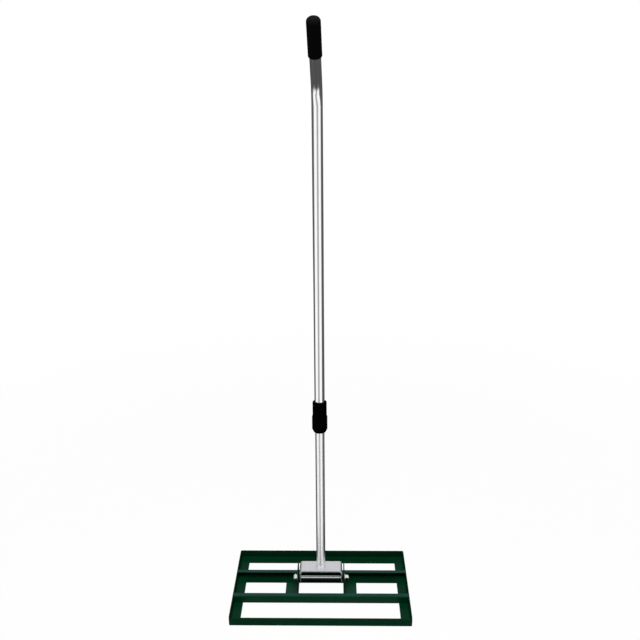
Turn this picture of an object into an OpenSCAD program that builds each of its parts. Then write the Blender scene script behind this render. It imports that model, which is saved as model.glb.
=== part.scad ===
// Lawn leveling rake: an open steel drag frame on a bolted hinge, with a telescopic bent handle.
// Millimetres, +Z up, front towards -Y, origin on the ground below the middle of the frame.

/* [Frame] */
// Width of the frame, side to side
frame_w = 430; // [340:1:640]
// Depth of the frame, front to back
frame_d = 253; // [230:1:400]
// Thickness of the frame steel
steel_t = 2.5; // [2:0.1:3.5]
// Height of the upright rim above the ground
rim_h = 22; // [16:0.5:24]
// Width of the flat flange inside the rim
flange_w = 25; // [18:0.5:32]
// Outer radius of the bends in the frame steel
bend_r = 4; // [3.6:0.1:5]
// Corner radius of the frame seen from above
corner_r = 6; // [2:0.5:6.5]

/* [Middle bars] */
// Distance of each middle bar's web from the middle of the frame
bar_offset = 50; // [47:0.5:60]
// Height of the middle bars
bar_h = 22; // [14:0.5:24]
// Width of the flat flange of a middle bar
bar_flange_w = 25; // [20:0.5:30]
// Width of the lip on top of a middle bar
lip_w = 12; // [8:0.5:13]

/* [Hinge] */
// Height of the hinge bolt above the ground
pivot_z = 38; // [37:0.5:48]
// Diameter of the hinge bolt
bolt_d = 8; // [6:0.5:10]
// Diameter of the domed bolt head
bolt_head_d = 17; // [15:0.5:20]
// Height of the domed bolt head
bolt_head_h = 8; // [5:0.5:8.5]
// Length of bolt that stands out past the nut
bolt_end = 1; // [1:0.5:8]
// Width of the nut across its flats
nut_flats = 13; // [13:0.5:17]
// Height of the nut's hex part
hex_h = 6.4; // [5:0.1:8]
// Height of the round crown on the nut
crown_h = 1.8; // [1.6:0.1:3]
// Diameter of the round crown on the nut
crown_d = 11.7; // [11.4:0.1:13]
// Thickness of the crown's lip over the locking insert
crown_lip = 0.4; // [0.2:0.1:0.8]
// Diameter of the plastic locking insert
insert_d = 10.2; // [9.2:0.1:10.4]
// Thickness of the plastic locking insert
insert_h = 1.4; // [0.8:0.1:2]
// Diameter of the steel washers
washer_d = 18; // [17:0.5:24]
// Thickness of the steel washers
washer_t = 2; // [1:0.1:2.5]
// Diameter of the split lock washer under the bolt head
lock_washer_d = 14.8; // [13:0.1:16.5]
// Thickness of the split lock washer
lock_washer_t = 2.2; // [1.5:0.1:3]
// Width of the split in the lock washer
washer_split = 1.6; // [0.8:0.1:2.5]
// Slant of the split in the lock washer, in degrees
split_slant = 20; // [0:1:30]
// Diameter of the plastic spacer washers
spacer_d = 20; // [15:0.5:24]
// Thickness of the plastic spacer washers
spacer_t = 2.7; // [2:0.1:5]
// Height of the hinge ears above the ground
ear_h = 69; // [56:0.5:74]
// Corner radius at the top of the hinge ears
ear_round = 12; // [4:0.5:16]
// Width of each strut, outwards from the ear
strut_w = 33; // [20:0.5:45]

/* [Clevis] */
// Outside width of the clevis strap over both legs
clevis_w = 104.6; // [80:0.2:130]
// Width of the strap, front to back
clevis_d = 42; // [36:0.5:44]
// Thickness of the strap
clevis_t = 3; // [2:0.1:4]
// Height of the clevis above the bolt
clevis_rise = 31.5; // [28:0.5:33]
// Outer radius of the strap's bends
clevis_bend_r = 7; // [4.2:0.1:9]
// Radius of the rounded leg ends about the bolt
lug_r = 14; // [9:0.5:16]

/* [Handle] */
// Lean of the handle towards the back, in degrees
pole_lean = 5; // [0:0.5:6]
// Outside diameter of the lower tube
lower_od = 22; // [18:0.5:22]
// Outside diameter of the upper tube
upper_od = 24; // [24:0.5:26]
// Wall of both tubes
tube_wall = 0.8; // [0.6:0.1:0.9]
// Length of the lower tube
lower_len = 740; // [640:1:760]
// Length of the lower tube that shows between the clevis and the twist nut
bare_len = 359; // [345:1:420]
// Straight length of the upper tube below its bend
upper_len = 708; // [690:1:900]
// Radius of the bend at the middle of the upper tube
pole_bend_r = 78; // [45:1:120]
// Angle of the bend towards the front, in degrees
pole_bend = 37; // [15:0.5:45]
// Length of the upper tube past the bend
bent_len = 136.5; // [120:0.5:260]
// Turn of the upper handle about its own axis, in degrees
handle_turn = -2.2; // [-180:0.1:180]
// Width of the mark that the bending die leaves at each end of the bend
die_mark_w = 1.2; // [0.8:0.1:3]
// Height of the die mark
die_mark_h = 0.03; // [0.02:0.01:0.1]
// Length of the guide plug that stands out of the lower tube
guide_head = 14; // [8:1:24]
// Length of the guide plug inside the lower tube
guide_stem = 20; // [10:1:40]
// Wall of the guide plug inside the lower tube
guide_wall = 3; // [1.5:0.1:5]

/* [Twist lock] */
// Diameter of the twist nut
nut_d = 36; // [35:0.5:42]
// Length of the twist nut
twist_len = 39; // [38:0.5:60]
// Length of the taper at the foot of the twist nut
taper_len = 8; // [4:0.5:14]
// Diameter of the collar above the twist nut
collar_d = 33; // [31.5:0.5:34]
// Length of the collar that shows above the twist nut
collar_len = 36; // [20:0.5:60]
// Diameter of the collar's screwed end inside the twist nut
spigot_d = 28.6; // [28:0.1:29]
// Length of the collar's screwed end
spigot_len = 19; // [14:0.5:22]
// Length of the stop in the collar below the upper tube's end
collar_stop = 6; // [3:0.5:8]
// Rounding of the upper edge of the collar
collar_round = 2.5; // [0.5:0.1:3]
// Rounding of the upper edge of the twist nut
edge_round = 1.2; // [0.4:0.1:1.6]
// Wall of the twist nut around the lower tube, at its foot
tip_wall = 2.6; // [1:0.1:3]
// Plain band above and below the collar's flutes
flute_margin = 3; // [1:0.5:6]
// Length of the split collet
collet_len = 16; // [10:0.5:17]
// Wall of the collet at its thin end
collet_wall = 1.3; // [1:0.1:1.5]
// Width of the slit in the collet
collet_slit = 1.6; // [0.8:0.1:3]
// Number of grip flutes around the twist nut
nut_flutes = 18; // [10:1:24]
// Number of grip flutes around the collar
collar_flutes = 16; // [10:1:22]
// Radius of a grip flute
flute_r = 1.8; // [1.2:0.1:2.4]
// Depth of a grip flute
flute_depth = 0.6; // [0.3:0.1:0.8]

/* [Grip] */
// Diameter of the hand grip
grip_d = 29; // [27:0.5:36]
// Length of the hand grip
grip_len = 82; // [70:1:110]
// Thickness of the closed end of the hand grip
grip_end = 5; // [3:0.5:8]
// Rounding at the closed end of the hand grip
grip_round = 8.5; // [4:0.5:11]
// Rounding at the open rim of the hand grip
grip_rim = 1; // [0.2:0.1:1.2]

/* [Fits] */
// Running clearance around a sliding or turning fit, on the radius
run_fit = 0.1; // [0.05:0.01:0.1]
// Clearance around a pressed or glued seat, on the radius
seat_fit = 0.05; // [0.02:0.01:0.08]
// Free gap between pieces that move past each other
free_gap = 0.3; // [0.2:0.05:0.5]

/* [Hidden] */
$fn = 64;

GREEN = [0.02, 0.2, 0.12];
BRIGHT = [0.78, 0.79, 0.8];
ZINC = [0.7, 0.71, 0.72];
BLACK = [0.05, 0.05, 0.05];
NYLON = [0.85, 0.85, 0.8];

// Distance by which a cutter runs past the face that it cuts
over = 1;
half_w = frame_w / 2;
half_d = frame_d / 2;
// Middle bay: half of its depth, between the flanges of the middle bars
bay_half = bar_offset - bar_flange_w;
// Hinge stations along the bolt, from the middle outwards
clevis_x = clevis_w / 2;
ear_in = clevis_x + free_gap + spacer_t;
ear_out = ear_in + steel_t;
seat_x = ear_out + washer_t;
head_x = seat_x + lock_washer_t;
nut_height = hex_h + crown_h;
insert_x = seat_x + nut_height - crown_lip - insert_h;
bolt_tip = seat_x + nut_height + bolt_end;
bolt_r = bolt_d / 2;
// Stations along the handle, from the bolt upwards
web_top = clevis_rise;
lower_top = web_top + lower_len;
nut_foot = web_top + bare_len;
nut_top = nut_foot + twist_len;
collar_foot = nut_top + free_gap;
collar_top = collar_foot + collar_len;
spigot_foot = collar_foot - spigot_len;
upper_foot = spigot_foot + collar_stop;
bend_start = upper_foot + upper_len;
// Tube radii
lower_r = lower_od / 2;
upper_r = upper_od / 2;
upper_bore = upper_r - tube_wall;
lower_bore = lower_r - tube_wall;
guide_bore = lower_bore - seat_fit - guide_wall;
// Twist lock radii
nut_r = nut_d / 2;
collar_r = collar_d / 2;
spigot_r = spigot_d / 2;
nut_bore = spigot_r + free_gap;
neck_r = lower_r + free_gap;
collet_bore = lower_r + run_fit;
collet_foot = spigot_foot - free_gap - collet_len;
collet_thin = collet_bore + collet_wall;
collet_thick = spigot_r - free_gap;
grip_r = grip_d / 2;

// L profile of a bent angle: flange along +x, upright leg along +y, with the tip of the leg rounded
module angle_profile(flange, leg) {
  translate([bend_r, 0])
    square([flange - bend_r, steel_t]);
  translate([0, bend_r])
    square([steel_t, leg - bend_r - steel_t / 2]);
  translate([steel_t / 2, leg - steel_t / 2])
    circle(d = steel_t);
  bend_profile(bend_r, steel_t);
}

// Quarter ring of a bend whose outer corner is at the origin
module bend_profile(radius, thickness) {
  translate([radius, radius])
    intersection() {
      difference() {
        circle(radius);
        circle(radius - thickness);
      }
      translate([-radius, -radius])
        square(radius);
    }
}

// Lipped channel: flange along +x, web up from the origin, lip along +x at the top
module channel_profile() {
  translate([bend_r, 0])
    square([bar_flange_w - bend_r, steel_t]);
  translate([0, bend_r])
    square([steel_t, bar_h - 2 * bend_r]);
  translate([bend_r, bar_h - steel_t])
    square([lip_w - bend_r - steel_t / 2, steel_t]);
  translate([lip_w - steel_t / 2, bar_h - steel_t / 2])
    circle(d = steel_t);
  bend_profile(bend_r, steel_t);
  translate([0, bar_h])
    mirror([0, 1])
      bend_profile(bend_r, steel_t);
}

// Rectangle centred on the origin, with round corners
module round_rect(size, radius) {
  square([size[0] - 2 * radius, size[1]], center = true);
  square([size[0], size[1] - 2 * radius], center = true);
  for (sx = [-1, 1], sy = [-1, 1])
    translate([sx * (size[0] / 2 - radius), sy * (size[1] / 2 - radius)])
      circle(radius);
}

// Straight angle bar of the outer frame, along x with its rim towards -y, mitred at both ends
module frame_angle(length, depth) {
  intersection() {
    translate([-length / 2, -depth / 2, 0])
      rotate([90, 0, 90])
        linear_extrude(length)
          angle_profile(flange_w, rim_h);
    translate([0, 0, -over])
      linear_extrude(rim_h + 2 * over)
        polygon([
          [-length / 2, -depth / 2],
          [length / 2, -depth / 2],
          [length / 2 - flange_w, -depth / 2 + flange_w],
          [-length / 2 + flange_w, -depth / 2 + flange_w]
        ]);
    translate([0, 0, -over])
      linear_extrude(rim_h + 2 * over)
        round_rect([length, depth], corner_r);
  }
}

module front_bar() {
  color(GREEN)
    frame_angle(frame_w, frame_d);
}

module rear_bar() {
  color(GREEN)
    rotate([0, 0, 180])
      frame_angle(frame_w, frame_d);
}

module left_side_bar() {
  color(GREEN)
    rotate([0, 0, -90])
      frame_angle(frame_d, frame_w);
}

module right_side_bar() {
  color(GREEN)
    rotate([0, 0, 90])
      frame_angle(frame_d, frame_w);
}

// Lipped channel across the frame, coped over the side flanges and their bends, butted to the side rims
module middle_bar() {
  relief = bend_r - steel_t;
  difference() {
    translate([-half_w + steel_t, -bar_offset, 0])
      rotate([90, 0, 90])
        linear_extrude(frame_w - 2 * steel_t)
          channel_profile();
    for (side = [-1, 1])
      translate([side * (half_w - flange_w / 2), 0, 0])
        cube([flange_w, frame_d, 2 * steel_t], center = true);
    for (side = [-1, 1])
      translate([side * (half_w - steel_t), 0, steel_t])
        cube([2 * relief, frame_d, 2 * relief], center = true);
  }
}

module front_middle_bar() {
  color(GREEN)
    middle_bar();
}

module rear_middle_bar() {
  color(GREEN)
    rotate([0, 0, 180])
      middle_bar();
}

// Ear outline in its own plane: x to the back, y up from the ground
module ear_outline() {
  intersection() {
    translate([-bay_half, 0])
      square([2 * bay_half, ear_h]);
    translate([0, ear_h / 2 - ear_round])
      round_rect([2 * bay_half, ear_h + 2 * ear_round], ear_round);
  }
}

// Bent strut and ear on the right side
module hinge_bracket() {
  difference() {
    intersection() {
      translate([ear_in, bay_half, 0])
        rotate([90, 0, 0])
          linear_extrude(2 * bay_half)
            angle_profile(strut_w, ear_h + steel_t);
      union() {
        translate([ear_in, -bay_half, 0])
          cube([strut_w, 2 * bay_half, bend_r]);
        translate([ear_in, 0, 0])
          rotate([90, 0, 90])
            linear_extrude(bend_r)
              ear_outline();
      }
    }
    translate([ear_in - over, 0, pivot_z])
      rotate([0, 90, 0])
        cylinder(r = bolt_r + run_fit, h = steel_t + 2 * over);
  }
}

module right_hinge_bracket() {
  color(GREEN)
    hinge_bracket();
}

module left_hinge_bracket() {
  color(GREEN)
    mirror([1, 0, 0])
      hinge_bracket();
}

// Places its children on the bolt's axis, with local z along +X from the given station
module on_bolt(station) {
  translate([station, 0, pivot_z])
    rotate([0, 90, 0])
      children();
}

// Domed head on the left, plain shank through both ears to the nut on the right
module pivot_bolt() {
  dome_r = (pow(bolt_head_d / 2, 2) + pow(bolt_head_h, 2)) / (2 * bolt_head_h);
  color(ZINC) {
    on_bolt(-head_x)
      cylinder(r = bolt_r, h = head_x + bolt_tip);
    on_bolt(-head_x)
      rotate([180, 0, 0])
        rotate_extrude()
          intersection() {
            translate([0, bolt_head_h - dome_r])
              circle(dome_r);
            square([bolt_head_d, bolt_head_h]);
          }
  }
}

// Flat ring with a hole that clears the bolt
module ring(diameter, thickness) {
  rotate_extrude()
    translate([bolt_r + run_fit, 0])
      square([diameter / 2 - bolt_r - run_fit, thickness]);
}

module bolt_washers() {
  color(ZINC) {
    on_bolt(ear_out)
      ring(washer_d, washer_t);
    on_bolt(-seat_x)
      ring(washer_d, washer_t);
  }
}

// Spring ring between the left washer and the bolt head, with a slanted split at its top
module lock_washer() {
  color(ZINC)
    on_bolt(-head_x)
      difference() {
        ring(lock_washer_d, lock_washer_t);
        translate([-lock_washer_d / 2, 0, lock_washer_t / 2])
          rotate([split_slant, 0, 0])
            cube([lock_washer_d - bolt_d, washer_split, 2 * lock_washer_t], center = true);
      }
}

module spacer_washers() {
  color(BLACK) {
    on_bolt(ear_in - spacer_t)
      ring(spacer_d, spacer_t);
    on_bolt(-ear_in)
      ring(spacer_d, spacer_t);
  }
}

module pivot_nut() {
  color(ZINC)
    on_bolt(seat_x)
      difference() {
        union() {
          cylinder(r = nut_flats / 2 / cos(30), h = hex_h, $fn = 6);
          cylinder(d = crown_d, h = nut_height);
        }
        translate([0, 0, -over])
          cylinder(r = bolt_r + seat_fit, h = nut_height + 2 * over);
        translate([0, 0, insert_x - seat_x])
          cylinder(d = insert_d, h = insert_h);
      }
}

module nut_insert() {
  color(NYLON)
    on_bolt(insert_x)
      rotate_extrude()
        translate([bolt_r + seat_fit, 0])
          square([insert_d / 2 - bolt_r - seat_fit, insert_h]);
}

// Places its children on the handle: origin at the bolt, z up the handle, front towards -y
module on_handle(station) {
  translate([0, 0, pivot_z])
    rotate([-pole_lean, 0, 0])
      translate([0, 0, station])
        children();
}

// Upright shape, centred on x, with round corners at its top
module round_top(width, foot, top, radius) {
  translate([-width / 2, foot])
    square([width, top - radius - foot]);
  translate([-width / 2 + radius, foot])
    square([width - 2 * radius, top - foot]);
  for (side = [-1, 1])
    translate([side * (width / 2 - radius), top - radius])
      circle(radius);
}

// Inverted U of the strap, in the plane of the bolt
module strap_profile() {
  difference() {
    round_top(clevis_w, -lug_r, web_top, clevis_bend_r);
    round_top(clevis_w - 2 * clevis_t, -lug_r - over, web_top - clevis_t, clevis_bend_r - clevis_t);
  }
}

// Side view of the strap: full width at the top, tapering to the round leg ends
module lug_outline() {
  half = clevis_d / 2;
  shoulder = web_top - clevis_bend_r;
  difference() {
    polygon([
      [-half, web_top],
      [half, web_top],
      [half, shoulder],
      [lug_r, 0],
      [lug_r, -lug_r - over],
      [-lug_r, -lug_r - over],
      [-lug_r, 0],
      [-half, shoulder]
    ]);
    difference() {
      translate([-half, -clevis_d])
        square(clevis_d);
      circle(lug_r);
    }
  }
}

module handle_clevis() {
  color(BRIGHT)
    on_handle(0)
      difference() {
        intersection() {
          translate([0, clevis_d / 2, 0])
            rotate([90, 0, 0])
              linear_extrude(clevis_d)
                strap_profile();
          translate([-clevis_x, 0, 0])
            rotate([90, 0, 90])
              linear_extrude(clevis_w)
                lug_outline();
        }
        translate([-clevis_x - over, 0, 0])
          rotate([0, 90, 0])
            cylinder(r = bolt_r + run_fit, h = clevis_w + 2 * over);
      }
}

module lower_tube() {
  color(BRIGHT)
    on_handle(web_top)
      linear_extrude(lower_len)
        difference() {
          circle(lower_r);
          circle(lower_bore);
        }
}

// Plug in the top of the lower tube, which guides it in the upper tube
module tube_guide() {
  color(BLACK)
    on_handle(lower_top)
      rotate_extrude() {
        translate([guide_bore, 0])
          square([upper_bore - run_fit - guide_bore, guide_head]);
        translate([guide_bore, -guide_stem])
          square([lower_bore - seat_fit - guide_bore, guide_stem]);
      }
}

// Split cone around the lower tube, closed by the twist nut
module lock_collet() {
  color(NYLON)
    on_handle(collet_foot)
      difference() {
        rotate_extrude()
          polygon([
            [collet_bore, 0],
            [collet_thin, 0],
            [collet_thick, collet_len],
            [collet_bore, collet_len]
          ]);
        translate([-collet_slit / 2, 0, -over])
          cube([collet_slit, spigot_d, collet_len + 2 * over]);
      }
}

// Grip flutes around a round body, as cutters
module flutes(count, radius, length) {
  for (i = [0:count - 1])
    rotate([0, 0, (i + 0.5) * 360 / count])
      translate([radius + flute_r - flute_depth, 0, 0])
        cylinder(r = flute_r, h = length);
}

module lock_collar() {
  color(BLACK)
    on_upper_handle(collar_foot)
      difference() {
        rotate_extrude()
          difference() {
            union() {
              translate([0, -spigot_len])
                square([spigot_r, spigot_len]);
              square([collar_r, collar_len - collar_round]);
              square([collar_r - collar_round, collar_len]);
              translate([collar_r - collar_round, collar_len - collar_round])
                circle(collar_round);
            }
            translate([0, -spigot_len + collar_stop])
              square([upper_r + seat_fit, spigot_len + collar_len]);
            translate([0, -spigot_len - over])
              square([neck_r, spigot_len + over]);
          }
        translate([0, 0, flute_margin])
          flutes(collar_flutes, collar_r, collar_len - 2 * flute_margin);
      }
}

module twist_nut() {
  tip_r = neck_r + tip_wall;
  cone_foot = collet_foot - free_gap - nut_foot;
  cone_top = spigot_foot - free_gap - nut_foot;
  color(BLACK)
    on_handle(nut_foot)
      difference() {
        rotate_extrude()
          difference() {
            union() {
              polygon([[0, 0], [tip_r, 0], [nut_r, taper_len], [0, taper_len]]);
              translate([0, taper_len])
                square([nut_r, twist_len - taper_len - edge_round]);
              translate([0, taper_len])
                square([nut_r - edge_round, twist_len - taper_len]);
              translate([nut_r - edge_round, twist_len - edge_round])
                circle(edge_round);
            }
            translate([0, -over])
              square([neck_r, twist_len]);
            polygon([
              [0, cone_foot],
              [collet_thin + free_gap, cone_foot],
              [nut_bore, cone_top],
              [nut_bore, twist_len + over],
              [0, twist_len + over]
            ]);
          }
        translate([0, 0, taper_len + flute_margin])
          flutes(nut_flutes, nut_r, twist_len - taper_len - 2 * flute_margin);
      }
}

// Places its children on the upper handle, which can be turned about its own axis
module on_upper_handle(station) {
  on_handle(station)
    rotate([0, 0, handle_turn])
      children();
}

// Places its children at the middle of the upper tube's bend: x towards its start, y up the handle
module in_bend() {
  on_upper_handle(bend_start)
    translate([0, -pole_bend_r, 0])
      rotate([90, 0, 90])
        children();
}

// Places its children at the end of the upper tube's bend, z along the bent end
module past_bend() {
  in_bend()
    rotate([0, 0, pole_bend])
      translate([pole_bend_r, 0, 0])
        rotate([-90, 0, 0])
          children();
}

// Solid rod along the bent line of the upper tube, longer by extra at both ends;
// the die marks join its straight lengths to the bend
module bent_rod(radius, extra) {
  inset = die_mark_w / 4;
  on_upper_handle(upper_foot - extra)
    cylinder(r = radius, h = upper_len + extra - inset);
  on_upper_handle(bend_start - die_mark_w / 2)
    cylinder(r = radius + die_mark_h, h = die_mark_w);
  in_bend()
    rotate_extrude(angle = pole_bend)
      translate([pole_bend_r, 0])
        circle(radius);
  past_bend()
    translate([0, 0, -die_mark_w / 2])
      cylinder(r = radius + die_mark_h, h = die_mark_w);
  past_bend()
    translate([0, 0, inset])
      cylinder(r = radius, h = bent_len + extra - inset);
}

module upper_tube() {
  color(BRIGHT)
    difference() {
      bent_rod(upper_r, 0);
      bent_rod(upper_bore, over);
    }
}

// Rubber sleeve with a closed, rounded end
module hand_grip() {
  grip_top = bent_len + seat_fit + grip_end;
  color(BLACK)
    past_bend()
      translate([0, 0, grip_top - grip_len])
        rotate_extrude()
          difference() {
            union() {
              translate([0, grip_rim])
                square([grip_r, grip_len - grip_rim - grip_round]);
              square([grip_r - grip_rim, grip_len - grip_round]);
              translate([grip_r - grip_rim, grip_rim])
                circle(grip_rim);
              square([grip_r - grip_round, grip_len]);
              intersection() {
                translate([grip_r - grip_round, grip_len - grip_round])
                  circle(grip_round);
                square([grip_r, grip_len]);
              }
            }
            translate([0, -over])
              square([upper_r + seat_fit, grip_len - grip_end + over]);
          }
}

front_bar();
rear_bar();
left_side_bar();
right_side_bar();
front_middle_bar();
rear_middle_bar();
left_hinge_bracket();
right_hinge_bracket();
pivot_bolt();
bolt_washers();
lock_washer();
spacer_washers();
pivot_nut();
nut_insert();
handle_clevis();
lower_tube();
tube_guide();
lock_collet();
lock_collar();
twist_nut();
upper_tube();
hand_grip();
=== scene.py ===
"""Lawn leveling rake: finishes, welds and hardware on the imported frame, with a plain studio around it."""

import logging
import math
from dataclasses import asdict, dataclass, replace
from enum import Enum
from typing import Any, Mapping, Optional, Sequence, Union

import bpy
from mathutils import Matrix, Vector


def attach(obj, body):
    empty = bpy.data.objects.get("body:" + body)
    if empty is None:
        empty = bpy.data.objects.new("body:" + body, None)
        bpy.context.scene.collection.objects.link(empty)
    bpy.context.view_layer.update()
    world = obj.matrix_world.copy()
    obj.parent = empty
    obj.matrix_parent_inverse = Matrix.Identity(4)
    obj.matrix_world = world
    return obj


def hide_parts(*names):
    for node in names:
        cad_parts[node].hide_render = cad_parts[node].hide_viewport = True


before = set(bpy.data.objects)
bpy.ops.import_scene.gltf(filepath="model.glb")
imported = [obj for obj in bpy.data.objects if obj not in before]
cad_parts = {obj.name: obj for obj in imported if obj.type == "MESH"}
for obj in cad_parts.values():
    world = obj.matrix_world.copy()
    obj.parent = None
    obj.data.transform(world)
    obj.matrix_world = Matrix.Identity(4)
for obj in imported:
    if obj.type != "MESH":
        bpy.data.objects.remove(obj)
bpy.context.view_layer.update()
LOG = logging.getLogger("rake")
Pair = tuple[float, float]
Triple = tuple[float, float, float]
Colour = Triple

# Sizes that several classes share, in metres, and the lean of the handle in radians
MM = 0.001
STEEL_T = 2.5 * MM
BAR_H = 22.0 * MM
BAR_OFFSET = 50.0 * MM
PIVOT_Z = 38.0 * MM
POLE_LEAN = math.radians(5.0)

# Sides and ends of the frame, with the sign of their axis
SIDES = ((-1.0, "left"), (1.0, "right"))
ENDS = ((-1.0, "front"), (1.0, "rear"))

UP = Vector((0.0, 0.0, 1.0))
WHITE: Colour = (1.0, 1.0, 1.0)

# Detail of every noise, and how much of a colour's change comes from clouds, the rest from grain
NOISE_OCTAVES = 3.0
NOISE_FINENESS = 0.6
CLOUD_RANGE = (0.3, 0.7)
CLOUD_SHARE = 0.7

# Turn of the stretched highlights, as a share of a full circle
HIGHLIGHT_TURN = 0.25

# Sockets of a Mix node that mixes colours
MIX_FACTOR, MIX_FIRST, MIX_SECOND, MIX_RESULT = 0, 6, 7, 2


class Body(Enum):
    """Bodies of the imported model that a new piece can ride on."""

    DRAG_FRAME = "drag_frame"
    LOWER_HANDLE = "lower_handle"


class Slot(Enum):
    """Material slots of the record."""

    GREEN_PAINT = "green_paint"
    BRIGHT_TUBE = "bright_tube"
    BRIGHT_STRAP = "bright_strap"
    ZINC_HARDWARE = "zinc_hardware"
    BLACK_PLASTIC = "black_plastic"
    BLACK_RUBBER = "black_rubber"
    WHITE_NYLON = "white_nylon"


class Wire:
    """A shader socket on which Python's operators add Math nodes."""

    def __init__(self, board: "Board", socket: Optional[bpy.types.NodeSocket]) -> None:
        """Wraps one output socket of a board's node tree, or none for an output node."""
        self.board = board
        self.socket = socket

    def _math(self, operation: str, first: "Value", second: "Value") -> "Wire":
        """Adds one Math node.

        Args:
            operation: Blender's name of the operation.
            first: left value.
            second: right value.

        Returns:
            The node's result.
        """
        return self.board.node("ShaderNodeMath", {"operation": operation}, {0: first, 1: second})

    def __add__(self, other: "Value") -> "Wire":
        """Sum."""
        return self._math("ADD", self, other)

    def __radd__(self, other: "Value") -> "Wire":
        """Sum with the number on the left."""
        return self._math("ADD", other, self)

    def __sub__(self, other: "Value") -> "Wire":
        """Difference."""
        return self._math("SUBTRACT", self, other)

    def __rsub__(self, other: "Value") -> "Wire":
        """Difference with the number on the left."""
        return self._math("SUBTRACT", other, self)

    def __mul__(self, other: "Value") -> "Wire":
        """Product."""
        return self._math("MULTIPLY", self, other)

    def __rmul__(self, other: "Value") -> "Wire":
        """Product with the number on the left."""
        return self._math("MULTIPLY", other, self)

    def __truediv__(self, other: "Value") -> "Wire":
        """Quotient."""
        return self._math("DIVIDE", self, other)

    def __rtruediv__(self, other: "Value") -> "Wire":
        """Quotient with the number on the left."""
        return self._math("DIVIDE", other, self)

    def angle_from(self, other: "Value") -> "Wire":
        """Angle whose sine side is this value and whose cosine side is the other, in radians."""
        return self._math("ARCTAN2", self, other)


Value = Union[Wire, float, Sequence[float]]


class Board:
    """A node tree to which shader nodes are added."""

    def __init__(self, tree: bpy.types.NodeTree) -> None:
        """Starts from an empty tree."""
        tree.nodes.clear()
        self.tree = tree

    def node(
        self,
        kind: str,
        settings: Optional[Mapping[str, Any]] = None,
        inputs: Optional[Mapping[Union[str, int], Value]] = None,
        output: Union[str, int] = 0,
    ) -> Wire:
        """Adds one node.

        Args:
            kind: Blender's type name of the node.
            settings: properties to set first; "stops" are a ramp's (place, colour) pairs.
            inputs: values or links by socket name or number.
            output: the output to return.

        Returns:
            The chosen output.
        """
        made = self.tree.nodes.new(kind)
        for name, value in (settings or {}).items():
            if name == "stops":
                self._set_stops(made.color_ramp, value)
            else:
                setattr(made, name, value)
        for name, value in (inputs or {}).items():
            if isinstance(value, Wire):
                self.tree.links.new(value.socket, made.inputs[name])
            else:
                made.inputs[name].default_value = value
        return Wire(self, made.outputs[output]) if made.outputs else Wire(self, None)

    @staticmethod
    def _set_stops(ramp: bpy.types.ColorRamp, stops: Sequence[tuple[float, Colour]]) -> None:
        """Gives a colour ramp its stops.

        Args:
            ramp: the ramp, which has two stops when new.
            stops: place from 0 to 1 and colour of each stop, in order.
        """
        while len(ramp.elements) < len(stops):
            ramp.elements.new(1.0)
        for element, (place, colour) in zip(ramp.elements, stops):
            element.position = place
            element.color = (*colour, 1.0)

    def coordinates(self, turn_x: float = 0.0, stretch: Sequence[float] = (1.0, 1.0, 1.0)) -> Wire:
        """Object coordinates, turned about X and stretched.

        Args:
            turn_x: angle about X, in radians.
            stretch: scale of each axis after the turn.

        Returns:
            The coordinate vector.
        """
        place = self.node("ShaderNodeTexCoord", output="Object")
        turned = self.node("ShaderNodeMapping", None, {"Vector": place, "Rotation": (turn_x, 0.0, 0.0)})
        return self.node("ShaderNodeMapping", None, {"Vector": turned, "Scale": tuple(stretch)})

    def axes(self, vector: Wire) -> tuple[Wire, ...]:
        """The three components of a vector."""
        split = self.node("ShaderNodeSeparateXYZ", None, {"Vector": vector})
        return tuple(Wire(self, output) for output in split.socket.node.outputs)

    def noise(self, where: Wire, scale: float) -> Wire:
        """Noise from 0 to 1 at a number of cells per metre.

        Args:
            where: coordinates.
            scale: cells per metre.

        Returns:
            The noise value.
        """
        inputs = {"Vector": where, "Scale": scale, "Detail": NOISE_OCTAVES, "Roughness": NOISE_FINENESS}
        return self.node("ShaderNodeTexNoise", None, inputs)

    def blend(self, factor: Value, first: Value, second: Value) -> Wire:
        """Mix of two colours.

        Args:
            factor: 0 gives the first, 1 the second.
            first: colour.
            second: colour.

        Returns:
            The mixed colour.
        """
        settings = {"data_type": "RGBA", "clamp_factor": True}
        colours = {
            MIX_FACTOR: factor,
            MIX_FIRST: first if isinstance(first, Wire) else (*first, 1.0),
            MIX_SECOND: second if isinstance(second, Wire) else (*second, 1.0),
        }
        return self.node("ShaderNodeMix", settings, colours, output=MIX_RESULT)

    def steps(self, value: Value, low: float, high: float) -> Wire:
        """Smooth step from 0 to 1.

        Args:
            value: the value to read.
            low: where the step starts.
            high: where it ends.

        Returns:
            The step.
        """
        settings = {"interpolation_type": "SMOOTHSTEP"}
        inputs = {"Value": value, "From Min": low, "From Max": high}
        return self.node("ShaderNodeMapRange", settings, inputs)


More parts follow.
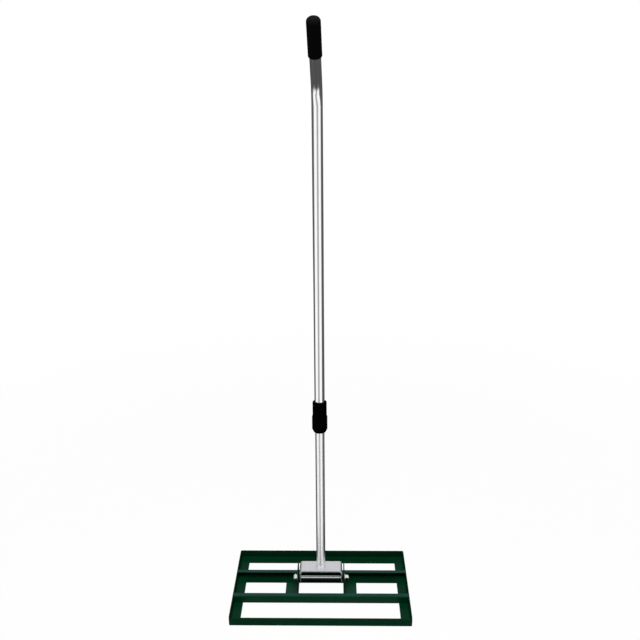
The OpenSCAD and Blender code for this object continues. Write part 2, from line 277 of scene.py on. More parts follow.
@dataclass(frozen=True)
class Finish:
    """A surface finish: the constants of its shader and the size of its grain."""

    name: str
    colour: Colour
    shade: Colour
    roughness: float
    roughness_spread: float
    specular: float
    grain_scale: float
    grain_height: float
    mottle_scale: float
    metallic: float = 0.0
    grain_stretch: Triple = (1.0, 1.0, 1.0)
    turn_x: float = 0.0
    edge_tint: Colour = WHITE
    anisotropy: float = 0.0

    def tone(self, board: Board, cloud: Wire, grain: Wire) -> Wire:
        """Base colour, between the shade and the colour.

        Args:
            board: the material's nodes.
            cloud: broad mottle from 0 to 1.
            grain: fine noise from 0 to 1.

        Returns:
            The colour over the surface.
        """
        share = cloud * CLOUD_SHARE + grain * (1.0 - CLOUD_SHARE)
        return board.blend(share, self.shade, self.colour)

    def material(self) -> bpy.types.Material:
        """Builds the material, or returns it if it is there.

        Returns:
            The node material.
        """
        found = bpy.data.materials.get(self.name)
        if found:
            return found
        made = bpy.data.materials.new(self.name)
        made.use_nodes = True
        board = Board(made.node_tree)
        mottle = board.noise(board.coordinates(self.turn_x), self.mottle_scale)
        grain = board.noise(board.coordinates(self.turn_x, self.grain_stretch), self.grain_scale)
        cloud = board.steps(mottle, *CLOUD_RANGE)
        spread = (grain - 0.5) + (cloud - 0.5)
        bump = {"Strength": 1.0, "Distance": self.grain_height, "Height": grain}
        shader = board.node(
            "ShaderNodeBsdfPrincipled",
            None,
            {
                "Base Color": self.tone(board, cloud, grain),
                "Roughness": self.roughness + spread * self.roughness_spread,
                "Metallic": self.metallic,
                "Specular IOR Level": self.specular,
                "Specular Tint": (*self.edge_tint, 1.0),
                "Anisotropic": self.anisotropy,
                "Anisotropic Rotation": HIGHLIGHT_TURN,
                "Normal": board.node("ShaderNodeBump", None, bump),
            },
        )
        board.node("ShaderNodeOutputMaterial", None, {"Surface": shader})
        return made


@dataclass(frozen=True)
class ChannelPaint(Finish):
    """Paint of a lipped channel: painted shade inside the channel and a painted sheen on top of its lip."""

    # Painted shade: a darker colour inside the channel, below the lip, where the lip's shade falls
    channel_shade_depth: float = BAR_OFFSET - STEEL_T + 0.1 * MM
    channel_shade_height: float = BAR_H - STEEL_T - 0.5 * MM
    channel_shade_border: float = 0.4 * MM
    channel_shade_colour: Colour = (0.0007, 0.0245, 0.0096)
    # Painted highlight: a paler, bluish colour on top of the lip that stands in for the sheen the lamp
    # gives it, varied by the mottle
    lip_sheen_height: float = BAR_H - 0.8 * MM
    lip_sheen_border: float = 0.5 * MM
    painted_sheen_colour: Colour = (0.0115, 0.0530, 0.0420)
    least_sheen: float = 0.7

    def tone(self, board: Board, cloud: Wire, grain: Wire) -> Wire:
        """Base colour with the painted shade inside and the painted sheen on the lip.

        Args:
            board: the material's nodes.
            cloud: broad mottle from 0 to 1.
            grain: fine noise from 0 to 1.

        Returns:
            The colour over the surface.
        """
        _, depth, height = board.axes(board.coordinates())
        # Painted shade: masks for the inside of the channel, within the depth and below the height
        far = self.channel_shade_depth + self.channel_shade_border
        outside = board.steps(depth * depth, self.channel_shade_depth**2, far**2)
        above = board.steps(height, self.channel_shade_height, self.channel_shade_height + self.channel_shade_border)
        # Painted highlight on top of the lip, stronger where the mottle is high
        sheen_mask = board.steps(height, self.lip_sheen_height, self.lip_sheen_height + self.lip_sheen_border)
        sheen_share = self.least_sheen + (1.0 - self.least_sheen) * cloud
        paint = super().tone(board, cloud, grain)
        # Lay the painted shade over the paint inside the channel
        paint = board.blend((1.0 - outside) * (1.0 - above), paint, self.channel_shade_colour)
        return board.blend(sheen_mask * sheen_share, paint, self.painted_sheen_colour)


FINISHES: dict[Slot, Finish] = {
    Slot.GREEN_PAINT: Finish(
        "dark_green_paint",
        colour=(0.0010, 0.0340, 0.0122),
        shade=(0.0007, 0.0285, 0.0096),
        roughness=0.32,
        roughness_spread=0.08,
        specular=0.05,
        grain_scale=700.0,
        grain_height=0.04 * MM,
        mottle_scale=25.0,
        edge_tint=(0.7, 1.0, 1.0),
    ),
    Slot.BRIGHT_TUBE: Finish(
        "polished_tube_steel",
        colour=(0.87, 0.875, 0.88),
        shade=(0.83, 0.835, 0.84),
        roughness=0.11,
        roughness_spread=0.03,
        specular=0.5,
        grain_scale=1800.0,
        grain_height=0.002 * MM,
        mottle_scale=60.0,
        metallic=1.0,
        grain_stretch=(1.0, 1.0, 0.01),
        turn_x=POLE_LEAN,
    ),
    Slot.BRIGHT_STRAP: Finish(
        "plated_strap_steel",
        colour=(0.88, 0.885, 0.887),
        shade=(0.80, 0.805, 0.808),
        roughness=0.42,
        roughness_spread=0.10,
        specular=0.5,
        grain_scale=1500.0,
        grain_height=0.012 * MM,
        mottle_scale=120.0,
        metallic=1.0,
        grain_stretch=(0.03, 1.0, 1.0),
    ),
    Slot.ZINC_HARDWARE: Finish(
        "zinc_plate",
        colour=(0.86, 0.87, 0.88),
        shade=(0.74, 0.75, 0.77),
        roughness=0.12,
        roughness_spread=0.06,
        specular=0.5,
        grain_scale=900.0,
        grain_height=0.006 * MM,
        mottle_scale=260.0,
        metallic=1.0,
    ),
    Slot.BLACK_PLASTIC: Finish(
        "moulded_black_plastic",
        colour=(0.0008, 0.0008, 0.0009),
        shade=(0.0006, 0.0006, 0.0007),
        roughness=0.42,
        roughness_spread=0.08,
        specular=0.012,
        grain_scale=1600.0,
        grain_height=0.03 * MM,
        mottle_scale=200.0,
    ),
    Slot.BLACK_RUBBER: Finish(
        "soft_black_rubber",
        colour=(0.0022, 0.0022, 0.0023),
        shade=(0.0016, 0.0016, 0.0017),
        roughness=0.52,
        roughness_spread=0.10,
        specular=0.036,
        grain_scale=1300.0,
        grain_height=0.05 * MM,
        mottle_scale=150.0,
    ),
    Slot.WHITE_NYLON: Finish(
        "natural_nylon",
        colour=(0.78, 0.77, 0.72),
        shade=(0.72, 0.70, 0.64),
        roughness=0.45,
        roughness_spread=0.06,
        specular=0.4,
        grain_scale=900.0,
        grain_height=0.01 * MM,
        mottle_scale=200.0,
    ),
}
LOWER_TUBE = replace(
    FINISHES[Slot.BRIGHT_TUBE],
    name="ring_brushed_tube_steel",
    colour=(0.94, 0.945, 0.95),
    shade=(0.90, 0.905, 0.91),
    roughness=0.23,
    roughness_spread=0.04,
    anisotropy=1.0,
)
# A lighter copy of the green paint whose paler colour is painted light, the extra light the hinge brackets
# and middle bars catch; its higher specular is real gloss
LIGHTENED_GREEN_PAINT = replace(
    FINISHES[Slot.GREEN_PAINT],
    name="green_paint_lightened_as_painted_light",
    colour=(0.0012, 0.0425, 0.0170),
    shade=(0.0009, 0.0356, 0.0138),
    specular=0.11,
)
# Middle bars' paint: the lighter copy, with painted shade in the channel and a painted sheen on the lip
LIP_PAINT = ChannelPaint(**asdict(replace(LIGHTENED_GREEN_PAINT, name="green_paint_with_painted_lip_sheen")))


class Bench:
    """Modelling by hand: operators on one piece at a time."""

    MERGE_WITHIN = 0.001 * MM
    HOLE_SIDES = 4

    @staticmethod
    def clear() -> None:
        """Leaves edit mode and deselects everything."""
        if bpy.context.object and bpy.context.object.mode != "OBJECT":
            bpy.ops.object.mode_set(mode="OBJECT")
        bpy.ops.object.select_all(action="DESELECT")

    @staticmethod
    def pick(*pieces: bpy.types.Object) -> None:
        """Selects these pieces alone, the first one active.

        Args:
            pieces: the pieces to select.
        """
        Bench.clear()
        for piece in pieces:
            piece.select_set(True)
        bpy.context.view_layer.objects.active = pieces[0]

    @staticmethod
    def name(piece: bpy.types.Object, name: str) -> bpy.types.Object:
        """Names a piece and its mesh.

        Args:
            piece: the piece.
            name: the name of both.

        Returns:
            The same piece.
        """
        piece.name = name
        piece.data.name = name
        return piece

    @staticmethod
    def place(piece: bpy.types.Object, where: Matrix) -> bpy.types.Object:
        """Moves a piece and applies its place to its mesh.

        Args:
            piece: a piece at the origin.
            where: its place in the row frame.

        Returns:
            The same piece, at the origin with its place in its mesh.
        """
        Bench.pick(piece)
        piece.matrix_world = where
        bpy.ops.object.transform_apply(location=True, rotation=True, scale=True)
        return piece

    @staticmethod
    def smooth(piece: bpy.types.Object, degrees: float = 35.0) -> bpy.types.Object:
        """Shades smooth below an angle between faces.

        Args:
            piece: the piece to shade.
            degrees: faces that meet at a larger angle keep a sharp edge.

        Returns:
            The same piece.
        """
        Bench.pick(piece)
        bpy.ops.object.shade_smooth_by_angle(angle=math.radians(degrees))
        return piece

    @staticmethod
    def apply(piece: bpy.types.Object, kind: str, **settings: Any) -> bpy.types.Object:
        """Adds a modifier, sets it and applies it.

        Args:
            piece: the piece to change.
            kind: Blender's modifier type.
            settings: the modifier's properties.

        Returns:
            The same piece.
        """
        Bench.pick(piece)
        added = piece.modifiers.new(kind.lower(), kind)
        for key, value in settings.items():
            setattr(added, key, value)
        bpy.ops.object.modifier_apply(modifier=added.name)
        return piece

    @staticmethod
    def cut(piece: bpy.types.Object, tool: bpy.types.Object, how: str = "DIFFERENCE") -> bpy.types.Object:
        """Cuts a piece with a tool and removes the tool.

        Args:
            piece: the piece to change.
            tool: the cutting shape.
            how: Blender's boolean operation.

        Returns:
            The same piece.
        """
        Bench.apply(piece, "BOOLEAN", operation=how, solver="EXACT", object=tool)
        bpy.data.objects.remove(tool)
        return Bench.close(piece)

    @staticmethod
    def close(piece: bpy.types.Object) -> bpy.types.Object:
        """Merges coincident vertices, fills small holes and turns the faces outwards.

        Args:
            piece: the piece to close.

        Returns:
            The same piece.
        """
        Bench.pick(piece)
        bpy.ops.object.mode_set(mode="EDIT")
        bpy.ops.mesh.select_all(action="SELECT")
        bpy.ops.mesh.remove_doubles(threshold=Bench.MERGE_WITHIN)
        bpy.ops.mesh.fill_holes(sides=Bench.HOLE_SIDES)
        bpy.ops.mesh.select_all(action="SELECT")
        bpy.ops.mesh.normals_make_consistent(inside=False)
        bpy.ops.object.mode_set(mode="OBJECT")
        return piece

    @staticmethod
    def join(pieces: Sequence[bpy.types.Object], name: str) -> bpy.types.Object:
        """Joins pieces to one object.

        Args:
            pieces: the pieces, of which the first one stays.
            name: name of the result.

        Returns:
            The joined piece.
        """
        Bench.pick(*pieces)
        if len(pieces) > 1:
            bpy.ops.object.join()
        return Bench.name(pieces[0], name)

    @staticmethod
    def lathe(
        name: str, profile: Sequence[Pair], where: Matrix, closed: bool, steps: int = 72
    ) -> bpy.types.Object:
        """Spins a profile about the local z axis.

        Args:
            name: name of the piece.
            profile: (radius, height) points, in metres.
            where: place of the local frame.
            closed: whether the last point joins the first, as in a ring.
            steps: segments in the full turn.

        Returns:
            The piece, with its place in its mesh.
        """
        Bench.clear()
        bpy.ops.mesh.primitive_plane_add(size=MM)
        piece = bpy.context.object
        bpy.ops.object.mode_set(mode="EDIT")
        bpy.ops.mesh.select_all(action="SELECT")
        bpy.ops.mesh.merge(type="CENTER")
        bpy.ops.transform.translate(value=(profile[0][0], 0.0, profile[0][1]))
        for before, after in zip(profile, profile[1:]):
            step = (after[0] - before[0], 0.0, after[1] - before[1])
            bpy.ops.mesh.extrude_region_move(TRANSFORM_OT_translate={"value": step})
        bpy.ops.mesh.select_all(action="SELECT")
        if closed:
            bpy.ops.mesh.edge_face_add()
            bpy.ops.mesh.delete(type="ONLY_FACE")
            bpy.ops.mesh.select_all(action="SELECT")
        bpy.ops.mesh.spin(steps=steps, angle=math.tau, center=(0, 0, 0), axis=(0, 0, 1), dupli=False)
        bpy.ops.object.mode_set(mode="OBJECT")
        Bench.place(Bench.close(Bench.name(piece, name)), where)
        return Bench.smooth(piece)


def arc(centre: Pair, radius: float, start: float, end: float, count: int) -> list[Pair]:
    """Points on an arc of a profile.

    Args:
        centre: (radius, height) of its middle.
        radius: radius of the arc.
        start: first angle in degrees, from the radius axis.
        end: last angle in degrees.
        count: number of points.

    Returns:
        The points in order.
    """
    angles = [math.radians(start + (end - start) * i / (count - 1)) for i in range(count)]
    return [(centre[0] + radius * math.cos(a), centre[1] + radius * math.sin(a)) for a in angles]


def dress(piece: bpy.types.Object, finish: Finish) -> None:
    """Gives a piece one finish.

    Args:
        piece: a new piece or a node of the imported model.
        finish: its finish.
    """
    piece.data.materials.clear()
    piece.data.materials.append(finish.material())


def dress_nodes(finish: Finish, *nodes: str) -> None:
    """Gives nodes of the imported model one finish.

    Args:
        finish: their finish.
        nodes: their names.
    """
    for node in nodes:
        dress(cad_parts[node], finish)


def mount(piece: bpy.types.Object, body: Body, slot: Slot, *nodes: str) -> None:
    """Dresses a new piece and fixes it to a body.

    Args:
        piece: the finished piece.
        body: the body that it rides on.
        slot: the record's slot of its finish.
        nodes: CAD nodes that it stands for.
    """
    dress(piece, FINISHES[slot])
    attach(piece, body.value)
    if nodes:
        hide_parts(*nodes)
    LOG.info("%s rides %s with %d faces", piece.name, body.value, len(piece.data.polygons))


@dataclass
class WeldSeam:
    """A run of overlapping weld drops along a line."""

    name: str
    path: Sequence[Vector]
    up: Vector
    width: float
    height: float
    pitch: float = 1.6 * MM
    drop_pitches: float = 2.6
    voxel: float = 0.45 * MM

    def build(self) -> bpy.types.Object:
        """Models one drop, copies it along the line and fuses the copies.

        Returns:
            The weld bead.
        """
        drops = []
        for start, end in zip(self.path, self.path[1:]):
            run = end - start
            count = max(1, round(run.length / self.pitch))
            for i in range(count):
                drops.append((start + run * (i + 0.5) / count, run.normalized()))
        Bench.clear()
        bpy.ops.mesh.primitive_ico_sphere_add(subdivisions=2, radius=0.5)
        drop = bpy.context.object
        bpy.ops.object.mode_set(mode="EDIT")
        bpy.ops.mesh.select_all(action="SELECT")
        bpy.ops.transform.resize(value=(self.drop_pitches * self.pitch, self.width, 2.0 * self.height))
        bpy.ops.object.mode_set(mode="OBJECT")
        pieces = []
        for place, along in drops:
            Bench.pick(drop)
            bpy.ops.object.duplicate(linked=False)
            copy = bpy.context.object
            across = self.up.cross(along).normalized()
            lift = along.cross(across).normalized()
            turn = Matrix((along, across, lift)).transposed().to_4x4()
            Bench.place(copy, Matrix.Translation(place) @ turn)
            pieces.append(copy)
        bpy.data.objects.remove(drop)
        bead = Bench.join(pieces, self.name)
        Bench.apply(bead, "REMESH", mode="VOXEL", voxel_size=self.voxel, use_smooth_shade=True)
        return bead


@dataclass
class DragFrame:
    """The welded steel frame: finishes of its bars and the welds between them.

    A bead is the width and height of a weld, and its ends are how far it stops short of the seam's ends.
    """

    half_w: float = 215.0 * MM
    half_d: float = 126.5 * MM
    flange_w: float = 25.0 * MM
    bay_half: float = 25.0 * MM
    ear_in: float = 55.3 * MM
    strut_w: float = 33.0 * MM
    strut_bead: Pair = (5.0 * MM, 0.9 * MM)
    strut_bead_ends: Pair = (5.0 * MM, 1.0 * MM)
    bar_bead: Pair = (4.0 * MM, 1.6 * MM)
    bar_bead_ends: Pair = (1.0 * MM, 1.5 * MM)
    corner_bead: Pair = (4.5 * MM, 0.6 * MM)
    corner_bead_ends: Pair = (1.0 * MM, 5.0 * MM)

    def build(self) -> None:
        """Dresses the bars and adds the welds."""
        dress_nodes(FINISHES[Slot.GREEN_PAINT], "front_bar", "rear_bar", "left_side_bar", "right_side_bar")
        # The middle bars get painted shade inside their channels and a painted sheen on their lips
        dress_nodes(LIP_PAINT, "front_middle_bar", "rear_middle_bar")
        # The hinge brackets take the lighter copy of the paint, whose extra brightness is painted light
        dress_nodes(LIGHTENED_GREEN_PAINT, "left_hinge_bracket", "right_hinge_bracket")
        welds = {"strut": self.strut_weld, "bar": self.bar_weld, "corner": self.corner_weld}
        for side, word in SIDES:
            for kind, weld in welds.items():
                for back, place in ENDS:
                    weld(side, back, f"{word}_{place}_{kind}_weld")

    def weld(self, name: str, line: Sequence[Vector], up: Vector, bead: Pair) -> None:
        """Adds one painted weld to the frame.

        Args:
            name: name of the weld.
            line: its first and last point.
            up: the direction in which it stands out.
            bead: its width and height.
        """
        mount(WeldSeam(name, line, up, *bead).build(), Body.DRAG_FRAME, Slot.GREEN_PAINT)

    def strut_weld(self, side: float, back: float, name: str) -> None:
        """Weld between a strut and the flange of a middle bar.

        Args:
            side: -1 for the left, 1 for the right.
            back: -1 for the front bar, 1 for the rear one.
            name: name of the weld.
        """
        inner = self.ear_in + self.strut_bead_ends[0]
        outer = self.ear_in + self.strut_w - self.strut_bead_ends[1]
        line = [Vector((side * x, back * self.bay_half, STEEL_T)) for x in (inner, outer)]
        self.weld(name, line, UP, self.strut_bead)

    def bar_weld(self, side: float, back: float, name: str) -> None:
        """Upright weld between the end of a middle bar and a side rim.

        Args:
            side: -1 for the left, 1 for the right.
            back: -1 for the front bar, 1 for the rear one.
            name: name of the weld.
        """
        foot = STEEL_T + self.bar_bead_ends[0]
        top = BAR_H - self.bar_bead_ends[1]
        line = [Vector((side * (self.half_w - STEEL_T), back * BAR_OFFSET, z)) for z in (foot, top)]
        self.weld(name, line, Vector((-side, back, 0.0)).normalized(), self.bar_bead)

    def corner_weld(self, side: float, back: float, name: str) -> None:
        """Flat weld along the mitre of a frame corner.

        Args:
            side: -1 for the left, 1 for the right.
            back: -1 for the front, 1 for the rear.
            name: name of the weld.
        """
        insets = (self.flange_w - self.corner_bead_ends[0], self.corner_bead_ends[1])
        corners = [(side * (self.half_w - inset), back * (self.half_d - inset)) for inset in insets]
        self.weld(name, [Vector((x, y, STEEL_T)) for x, y in corners], UP, self.corner_bead)


@dataclass
class HingeHardware:
    """Bolt, nut and washers of the hinge."""

    bolt_r: float = 4.0 * MM
    bolt_smooth_deg: float = 30.0
    head_r: float = 8.5 * MM
    head_h: float = 8.0 * MM
    head_rim: float = 0.5 * MM
    head_x: float = 62.0 * MM
    dome_points: int = 14
    tip_x: float = 69.0 * MM
    tip_bevel: float = 0.6 * MM
    socket_flats: float = 5.0 * MM
    socket_depth: float = 3.4 * MM
    thread_length: float = 24.0 * MM
    thread_pitch: float = 1.25 * MM
    thread_depth: float = 0.7 * MM
    thread_run_out: float = 1.0 * MM
    thread_short: float = 0.4 * MM
    thread_steps: int = 40
    root_share: float = 0.45
    crest_share: float = 0.09
    root_sink: float = 0.2 * MM
    seat_x: float = 59.8 * MM
    nut_smooth_deg: float = 25.0
    nut_flats: float = 13.0 * MM
    nut_h: float = 8.2 * MM
    hex_h: float = 6.4 * MM
    chamfer_deg: float = 30.0
    chamfer_gap: float = 0.1 * MM
    crown_r: float = 5.85 * MM
    crown_round: float = 0.6 * MM
    crown_points: int = 6
    crown_sink: float = 0.5 * MM
    crown_foot_t: float = 0.3 * MM
    crown_foot_gap: float = 0.4 * MM
    crown_lip_w: float = 0.3 * MM
    crown_lip_t: float = 0.4 * MM
    insert_r: float = 5.1 * MM
    washer_r: float = 9.0 * MM
    washer_t: float = 2.0 * MM
    washer_edge: float = 0.5 * MM
    washer_points: int = 5
    hole_r: float = 4.1 * MM
    round_steps: int = 64
    cut_over: float = 1.0 * MM

    def on_bolt(self, station: float) -> Matrix:
        """Frame on the bolt's axis, with local z along +X."""
        return Matrix.Translation((station, 0.0, PIVOT_Z)) @ Matrix.Rotation(math.pi / 2, 4, "Y")

    def build(self) -> None:
        """Models the hardware and dresses what stays from the CAD."""
        mount(self.bolt(), Body.DRAG_FRAME, Slot.ZINC_HARDWARE, "pivot_bolt")
        mount(self.nut(), Body.DRAG_FRAME, Slot.ZINC_HARDWARE, "pivot_nut")
        mount(self.washers(), Body.DRAG_FRAME, Slot.ZINC_HARDWARE, "bolt_washers")
        dress_nodes(FINISHES[Slot.ZINC_HARDWARE], "lock_washer")
        dress_nodes(FINISHES[Slot.BLACK_PLASTIC], "spacer_washers")
        dress_nodes(FINISHES[Slot.WHITE_NYLON], "nut_insert")

    def hexagon(self, flats: float, depth: float, where: Matrix) -> bpy.types.Object:
        """A six-sided prism that starts at the local origin and rises along local z.

        Args:
            flats: width across flats.
            depth: height.
            where: place of its foot.

        Returns:
            The prism.
        """
        Bench.clear()
        bpy.ops.mesh.primitive_cylinder_add(vertices=6, radius=flats / math.sqrt(3.0), depth=depth)
        prism = bpy.context.object
        lift = Matrix.Translation((0.0, 0.0, depth / 2))
        return Bench.place(prism, where @ lift @ Matrix.Rotation(math.pi / 6, 4, "Z"))

    def bolt(self) -> bpy.types.Object:
        """Domed head with a hex socket, shank, and a screw thread up to a bevelled tip.

        Returns:
            The bolt.
        """
        dome_r = (self.head_r**2 + self.head_h**2) / (2 * self.head_h)
        rise = math.degrees(math.asin(self.head_r / dome_r))
        dome = arc((0.0, dome_r - self.head_h), dome_r, -90.0, -90.0 + rise, self.dome_points)
        core_r = self.bolt_r - self.thread_depth
        length = self.head_x + self.tip_x
        shank_end = length - self.thread_length
        thread_from = shank_end + self.thread_run_out
        profile = [(max(r, 0.0), z) for r, z in dome]
        profile += [(self.head_r - self.head_rim, 0.0), (self.bolt_r, 0.0), (self.bolt_r, shank_end)]
        profile += [(core_r, thread_from), (core_r, length - self.tip_bevel)]
        profile += [(core_r - self.tip_bevel, length), (0.0, length)]
        seat = self.on_bolt(-self.head_x)
        bolt = Bench.lathe("hinge_bolt", profile, seat, closed=False, steps=self.round_steps)
        socket_at = self.on_bolt(-self.head_x - self.head_h - self.cut_over)
        Bench.cut(bolt, self.hexagon(self.socket_flats, self.socket_depth + self.cut_over, socket_at))
        thread = self.thread(thread_from, length - self.thread_short)
        return Bench.smooth(Bench.join([bolt, thread], "hinge_bolt"), self.bolt_smooth_deg)

    def thread(self, start: float, end: float) -> bpy.types.Object:
        """Screw ridge around the bolt.

        Args:
            start: first height above the head's seat.
            end: last height.

        Returns:
            The ridge, closed at both ends.
        """
        root_r = self.bolt_r - self.thread_depth - self.root_sink
        root, crest = self.root_share * self.thread_pitch, self.crest_share * self.thread_pitch
        turns = int((end - start) / self.thread_pitch) - 1
        Bench.clear()
        bpy.ops.mesh.primitive_plane_add(size=1.0, rotation=(math.pi / 2, 0.0, 0.0))
        ridge = bpy.context.object
        bpy.ops.object.transform_apply(location=True, rotation=True, scale=True)
        for vertex in ridge.data.vertices:
            outside = vertex.co.x > 0
            half = crest if outside else root
            side = 1.0 if vertex.co.z > 0 else -1.0
            vertex.co = (self.bolt_r if outside else root_r, 0.0, side * half)
        Bench.apply(
            ridge, "SCREW", axis="Z", angle=math.tau, screw_offset=self.thread_pitch, iterations=turns,
            steps=self.thread_steps, render_steps=self.thread_steps, use_merge_vertices=False,
            use_smooth_shade=True,
        )
        Bench.close(Bench.name(ridge, "hinge_bolt_thread"))
        return Bench.place(ridge, self.on_bolt(-self.head_x + start + self.thread_pitch / 2))

    def nut(self) -> bpy.types.Object:
        """Hex nut with chamfered corners, a round crown and its bore.

        Returns:
            The nut.
        """
        at_seat = self.on_bolt(self.seat_x)
        corner_r = self.nut_flats / math.sqrt(3.0)
        flat_r = self.nut_flats / 2
        drop = (corner_r - flat_r) * math.tan(math.radians(self.chamfer_deg))
        flat_r -= self.chamfer_gap
        corner_r += self.chamfer_gap
        body = self.hexagon(self.nut_flats, self.hex_h, at_seat)
        barrel = [(0.0, 0.0), (flat_r, 0.0), (corner_r, drop)]
        barrel += [(corner_r, self.hex_h - drop), (flat_r, self.hex_h), (0.0, self.hex_h)]
        Bench.cut(body, Bench.lathe("nut_chamfer", barrel, at_seat, closed=False), "INTERSECT")
        ring = Bench.lathe("nut_crown", self.crown(), at_seat, closed=True)
        low, high = -self.cut_over, self.hex_h + self.cut_over
        bore = [(0.0, low), (self.hole_r, low), (self.hole_r, high), (0.0, high)]
        Bench.cut(body, Bench.lathe("nut_bore", bore, at_seat, closed=False))
        return Bench.smooth(Bench.join([body, ring], "hinge_nut"), self.nut_smooth_deg)

    def crown(self) -> list[Pair]:
        """Profile of the nut's crown: a foot sunk in the hexagon, a wall, and a lip over the insert.

        Returns:
            (radius, height) points above the nut's seat.
        """
        foot = self.hex_h - self.crown_sink
        floor = foot + self.crown_foot_t
        inner = self.hole_r + self.crown_foot_gap
        lip_r = self.insert_r - self.crown_lip_w
        lip_z = self.nut_h - self.crown_lip_t
        corner = (self.crown_r - self.crown_round, self.nut_h - self.crown_round)
        profile = [(inner, foot), (self.crown_r, foot)]
        profile += arc(corner, self.crown_round, 0.0, 90.0, self.crown_points)
        profile += [(lip_r, self.nut_h), (lip_r, lip_z), (self.insert_r, lip_z)]
        return profile + [(self.insert_r, floor), (inner, floor)]

    def washers(self) -> bpy.types.Object:
        """Two washers with rounded outer edges.

        Returns:
            Both washers as one piece.
        """
        edge = self.washer_edge
        middle = self.washer_r - edge
        profile = [(self.hole_r, 0.0)]
        profile += arc((middle, edge), edge, -90.0, 0.0, self.washer_points)
        profile += arc((middle, self.washer_t - edge), edge, 0.0, 90.0, self.washer_points)
        profile += [(self.hole_r, self.washer_t)]
        rings = []
        for station in (-self.seat_x, self.seat_x - self.washer_t):
            seat = self.on_bolt(station)
            rings.append(Bench.lathe("washer", profile, seat, closed=True, steps=self.round_steps))
        return Bench.join(rings, "hinge_washers")


@dataclass
class LowerHandle:
    """Clevis strap and lower tube, with the weld between them, and the collet that clamps on the tube."""

    web_top: float = 31.5 * MM
    tube_r: float = 11.0 * MM
    bead: Pair = (2.4 * MM, 0.9 * MM)
    bead_gap: float = 0.2 * MM
    bead_lift: float = 0.1 * MM
    bead_runs: int = 48
    bead_voxel: float = 0.25 * MM

    def build(self) -> None:
        """Dresses the strap, the tube, its guide and the collet, and adds the weld at the tube's foot."""
        dress_nodes(FINISHES[Slot.BRIGHT_STRAP], "handle_clevis")
        dress_nodes(LOWER_TUBE, "lower_tube")
        dress_nodes(FINISHES[Slot.BLACK_PLASTIC], "tube_guide")
        dress_nodes(FINISHES[Slot.WHITE_NYLON], "lock_collet")
        foot = Matrix.Translation((0.0, 0.0, PIVOT_Z)) @ Matrix.Rotation(-POLE_LEAN, 4, "X")
        foot = foot @ Matrix.Translation((0.0, 0.0, self.web_top))
        ring_r = self.tube_r + self.bead_gap
        turn = [math.tau * i / self.bead_runs for i in range(self.bead_runs + 1)]
        ring = [Vector((ring_r * math.cos(a), ring_r * math.sin(a), self.bead_lift)) for a in turn]
        line = [foot @ point for point in ring]
        seam = WeldSeam("tube_foot_weld", line, foot.to_3x3() @ UP, *self.bead, voxel=self.bead_voxel)
        mount(seam.build(), Body.LOWER_HANDLE, Slot.BRIGHT_STRAP)


class UpperHandle:
    """Upper tube with its bent end, the twist lock and the grip."""

    def build(self) -> None:
        """Dresses the tube, the lock and the grip."""
        dress_nodes(FINISHES[Slot.BRIGHT_TUBE], "upper_tube")
        dress_nodes(FINISHES[Slot.BLACK_PLASTIC], "lock_collar", "twist_nut")
        dress_nodes(FINISHES[Slot.BLACK_RUBBER], "hand_grip")


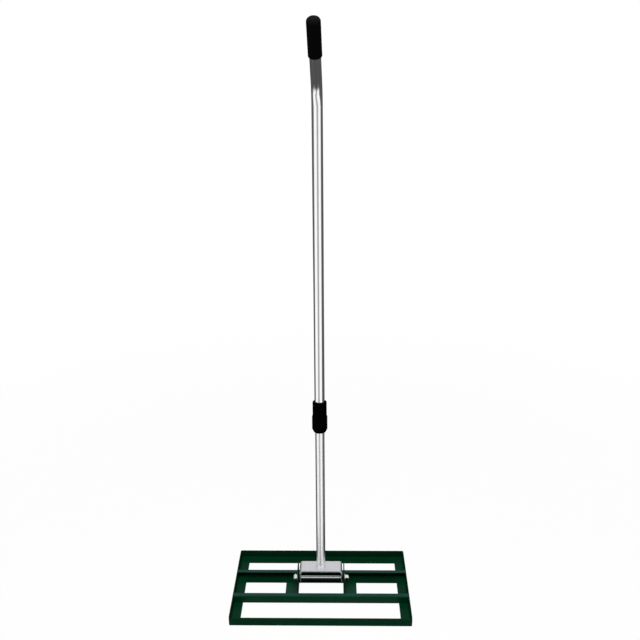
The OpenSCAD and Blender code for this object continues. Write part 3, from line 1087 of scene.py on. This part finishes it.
@dataclass
class Studio:
    """Camera, floor, lamp and the plain white surroundings.

    Polished pieces reflect only the world. Each point of its ring is a place on the turn, from behind
    round to behind again, and a brightness. A range is where a soft border starts and ends, measured
    on the parts of a direction: along to the right, back away from the camera, and up.
    """

    image_px: float = 640.0
    focal_px: float = 744.7
    sensor_mm: float = 36.0
    clip_start: float = 0.01
    eye: Triple = (0.0358, -1.5189, 1.2694)
    pitch_deg: float = 19.97
    yaw_deg: float = -1.21
    roll_deg: float = -0.57
    floor_size: float = 14.0
    floor_drop: float = 0.2 * MM
    floor_colour: Colour = (0.9, 0.9, 0.9)
    floor_white: float = 0.97
    floor_fade: Pair = (0.6, 2.4)
    key_place: Triple = (0.0, -0.80, 2.28)
    key_aim: Triple = (0.0, 0.0, 0.0)
    key_size: float = 1.35
    key_watts: float = 51.0
    matte_colour: Colour = (0.03, 0.03, 0.031)
    ring: Sequence[Pair] = (
        (0.000, 0.13), (0.258, 0.13), (0.285, 1.12), (0.418, 1.12), (0.442, 0.43),
        (0.514, 0.43), (0.538, 1.12), (0.660, 1.12), (0.692, 0.11), (1.000, 0.13),
    )
    ring_lean: float = 0.122
    lean_from: float = -0.2
    lean_range: Pair = (-0.60, -0.42)
    pit_range: Pair = (0.64, 0.88)
    pit_colour: Colour = (0.06, 0.06, 0.061)
    ceiling_range: Pair = (0.20, 0.45)
    ceiling_colour: Colour = (0.85, 0.86, 0.88)
    ground_slope: float = 1.6
    ground_range: Pair = (0.30, 1.12)
    ground_colour: Colour = (0.085, 0.085, 0.087)
    rear_box_side: Pair = (0.76, 0.88)
    rear_box_top: Pair = (0.20, 0.34)
    rear_box_colour: Colour = (0.80, 0.81, 0.82)

    def build(self) -> None:
        """Sets the camera, the floor, the lamp and the world."""
        self.camera()
        self.floor()
        self.key_lamp()
        self.world()
        bpy.context.scene.view_settings.view_transform = "Standard"

    def camera(self) -> None:
        """Camera at the photo's place."""
        pitch, yaw, roll = (math.radians(a) for a in (self.pitch_deg, self.yaw_deg, self.roll_deg))
        level = math.cos(pitch)
        ahead = Vector((math.sin(yaw) * level, math.cos(yaw) * level, -math.sin(pitch)))
        right = Vector((math.cos(yaw), -math.sin(yaw), 0.0))
        up = right.cross(ahead)
        side = right * math.cos(roll) + up * math.sin(roll)
        top = up * math.cos(roll) - right * math.sin(roll)
        data = bpy.data.cameras.new("photo_camera")
        data.sensor_width = self.sensor_mm
        data.lens = self.focal_px / self.image_px * self.sensor_mm
        data.clip_start = self.clip_start
        eye = bpy.data.objects.new("photo_camera", data)
        bpy.context.scene.collection.objects.link(eye)
        turn = Matrix((side, top, -ahead)).transposed().to_4x4()
        eye.matrix_world = Matrix.Translation(self.eye) @ turn
        bpy.context.scene.camera = eye

    def floor(self) -> None:
        """Pale floor that the camera sees as white, with a faint shadow."""
        Bench.clear()
        bpy.ops.mesh.primitive_plane_add(size=self.floor_size, location=(0.0, 0.0, -self.floor_drop))
        ground = Bench.name(bpy.context.object, "studio_floor")
        made = bpy.data.materials.new("studio_floor")
        made.use_nodes = True
        board = Board(made.node_tree)
        matte = board.node("ShaderNodeBsdfDiffuse", None, {"Color": (*self.floor_colour, 1.0)})
        glow = board.node("ShaderNodeEmission", None, {"Color": (*WHITE, 1.0), "Strength": 1.0})
        seen = board.node("ShaderNodeLightPath", output="Is Camera Ray")
        where = {0: board.coordinates()}
        reach = board.node("ShaderNodeVectorMath", {"operation": "LENGTH"}, where, output="Value")
        share = self.floor_white + (1.0 - self.floor_white) * board.steps(reach, *self.floor_fade)
        mixed = board.node("ShaderNodeMixShader", None, {0: seen * share, 1: matte, 2: glow})
        board.node("ShaderNodeOutputMaterial", None, {"Surface": mixed})
        ground.data.materials.append(made)
        ground.visible_glossy = False

    def key_lamp(self) -> None:
        """One soft box high in front, whose light the pale floor throws back."""
        data = bpy.data.lights.new("key_box", "AREA")
        data.shape = "SQUARE"
        data.size = self.key_size
        data.energy = self.key_watts
        lamp = bpy.data.objects.new("key_box", data)
        bpy.context.scene.collection.objects.link(lamp)
        lamp.location = self.key_place
        ahead = Vector(self.key_aim) - Vector(self.key_place)
        lamp.rotation_euler = ahead.to_track_quat("-Z", "Y").to_euler()
        lamp.visible_glossy = False

    def world(self) -> None:
        """White for the camera, dim grey for matte light, and the studio for reflections."""
        sky = bpy.data.worlds.new("studio_world")
        bpy.context.scene.world = sky
        sky.use_nodes = True
        board = Board(sky.node_tree)
        path = board.node("ShaderNodeLightPath", output="Is Camera Ray")
        outs = path.socket.node.outputs
        glossy = Wire(board, outs["Is Glossy Ray"])
        clear = Wire(board, outs["Is Transmission Ray"])
        lit = board.blend(glossy, self.matte_colour, self.reflections(board))
        seen = board.blend(path + clear, lit, WHITE)
        shade = board.node("ShaderNodeBackground", None, {"Color": seen, "Strength": 1.0})
        board.node("ShaderNodeOutputWorld", None, {"Surface": shade})

    def reflections(self, board: Board) -> Wire:
        """A ring of tall bright boxes between a pale ceiling and a dark ground, with a box at the back.

        Args:
            board: the world's nodes.

        Returns:
            The colour by direction.
        """
        along, back, up = board.axes(board.node("ShaderNodeTexCoord", output="Generated"))
        down = up * -1.0
        lean = (up - self.lean_from) * self.ring_lean * board.steps(up, *self.lean_range)
        turn = along.angle_from(back * -1.0) / math.tau + 0.5 - lean
        stops = [(place, (grey,) * 3) for place, grey in self.ring]
        seen = board.node("ShaderNodeValToRGB", {"stops": stops}, {"Fac": turn})
        seen = board.blend(board.steps(down, *self.pit_range), seen, self.pit_colour)
        seen = board.blend(board.steps(up, *self.ceiling_range), seen, self.ceiling_colour)
        ground = board.steps(back - up * self.ground_slope, *self.ground_range)
        seen = board.blend(ground, seen, self.ground_colour)
        box = board.steps(back, *self.rear_box_side) * board.steps(down, *self.rear_box_top)
        return board.blend(box, seen, self.rear_box_colour)


def main() -> None:
    """Builds the sub-assemblies in order, then the studio."""
    logging.basicConfig(level=logging.INFO, format="%(name)s: %(message)s")
    for part in (DragFrame(), HingeHardware(), LowerHandle(), UpperHandle(), Studio()):
        LOG.info("building %s", type(part).__name__)
        part.build()
    Bench.clear()


if __name__ == "__main__":
    main()
